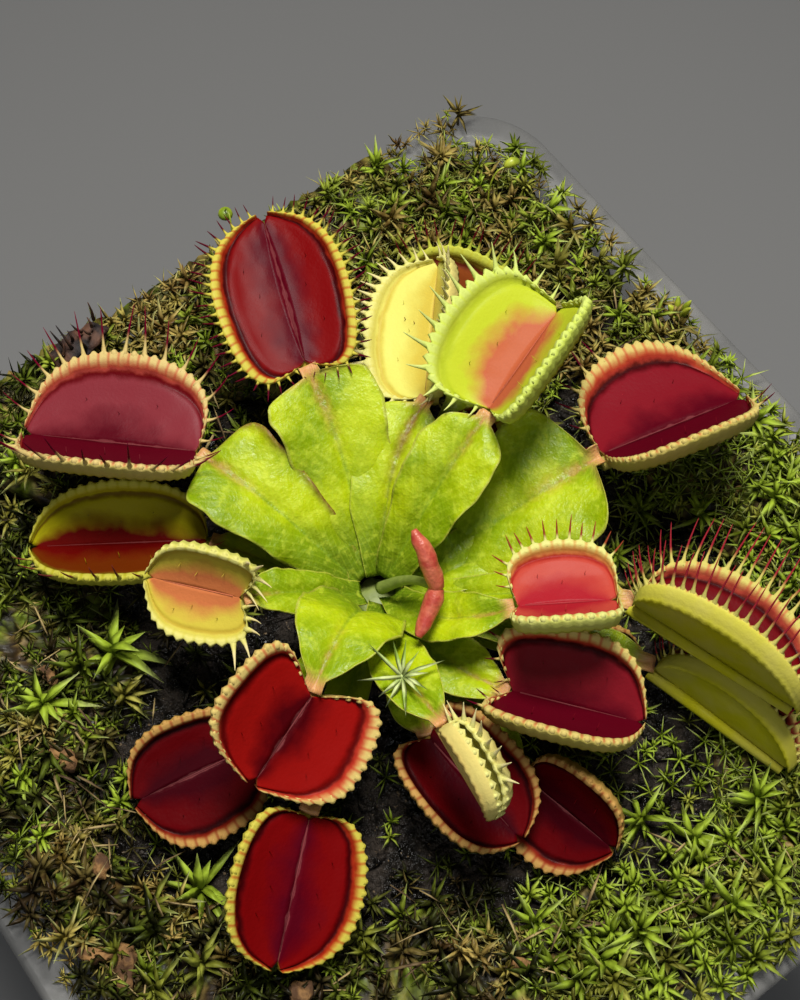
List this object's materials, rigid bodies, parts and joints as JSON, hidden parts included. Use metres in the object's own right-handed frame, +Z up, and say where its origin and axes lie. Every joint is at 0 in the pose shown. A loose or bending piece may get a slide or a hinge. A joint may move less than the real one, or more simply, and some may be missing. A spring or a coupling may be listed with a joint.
{
  "type": "potted venus flytrap",
  "caption": "Square clear plastic pot of dark peat and green moss holding a flat rosette of winged leaf stalks that end in toothed snap traps, red inside on most leaves and pale yellow on some.",
  "frame": {"origin": "middle of the underside of the pot, on the plane it stands on", "axes": "+Z up out of the pot; X and Y along the sides of the square pot; the picture looks towards the corner at -X +Y"},
  "size_m": [0.1, 0.1, 0.1171],
  "materials": {
    "pot_plastic": "clear, faintly smoky moulded plastic, smooth and glossy",
    "peat": "wet dark peat, crumbly, with small bark bits",
    "leaf_green": "bright lime green leaf blade, finely pimpled and satin",
    "trap_red": "deep red trap lobe with a yellow-green toothed rim",
    "trap_pink": "dusky pink red trap lobe with a yellow-green toothed rim",
    "trap_coral": "coral red young trap lobe with a pale yellow rim",
    "trap_olive": "olive yellow trap with a red middle",
    "trap_yellow": "bright yellow green trap lobe flushed pink at the hinge",
    "trap_cream": "pale cream yellow trap lobe with fine ribs",
    "moss_green": "living star-shaped moss, lime to olive, soft"
  },
  "bodies": {
    "root": {"pot": "pot_plastic", "soil": "peat", "crown": "leaf_green", "bud": "trap_coral", "stalk_back_left": "leaf_green", "trap_back_left": "trap_red", "stalk_left": "leaf_green", "trap_left": "trap_pink", "stalk_left_low": "leaf_green", "trap_left_low": "trap_olive", "stalk_left_young": "leaf_green", "trap_left_young": "trap_yellow", "stalk_front_heart": "leaf_green", "trap_front_heart": "trap_red", "stalk_front_left": "leaf_green", "trap_front_left": "trap_red", "stalk_front": "leaf_green", "trap_front": "trap_red", "stalk_front_right": "leaf_green", "trap_front_right": "trap_red", "stalk_front_closed": "leaf_green", "trap_front_closed": "trap_cream", "stalk_right_low": "leaf_green", "trap_right_low": "trap_red", "stalk_right_front": "leaf_green", "trap_right_front": "trap_red", "stalk_right_small": "leaf_green", "trap_right_small": "trap_coral", "stalk_right_hidden": "leaf_green", "trap_right_hidden": "trap_red", "stalk_far_right": "leaf_green", "trap_far_right": "trap_olive", "stalk_far_right_low": "leaf_green", "trap_far_right_low": "trap_olive", "stalk_right_back": "leaf_green", "trap_right_back": "trap_pink", "stalk_back": "leaf_green", "trap_back": "trap_yellow", "stalk_back_pale": "leaf_green", "trap_back_pale": "trap_cream", "stalk_back_hidden": "leaf_green", "trap_back_hidden": "trap_olive", "stalk_back_low": "leaf_green", "trap_back_low": "trap_red", "moss_back": "moss_green", "moss_right": "moss_green", "moss_far_right": "moss_green", "moss_front_right": "moss_green", "moss_front": "moss_green", "moss_front_left": "moss_green", "moss_left": "moss_green"}
  },
  "joints": []
}
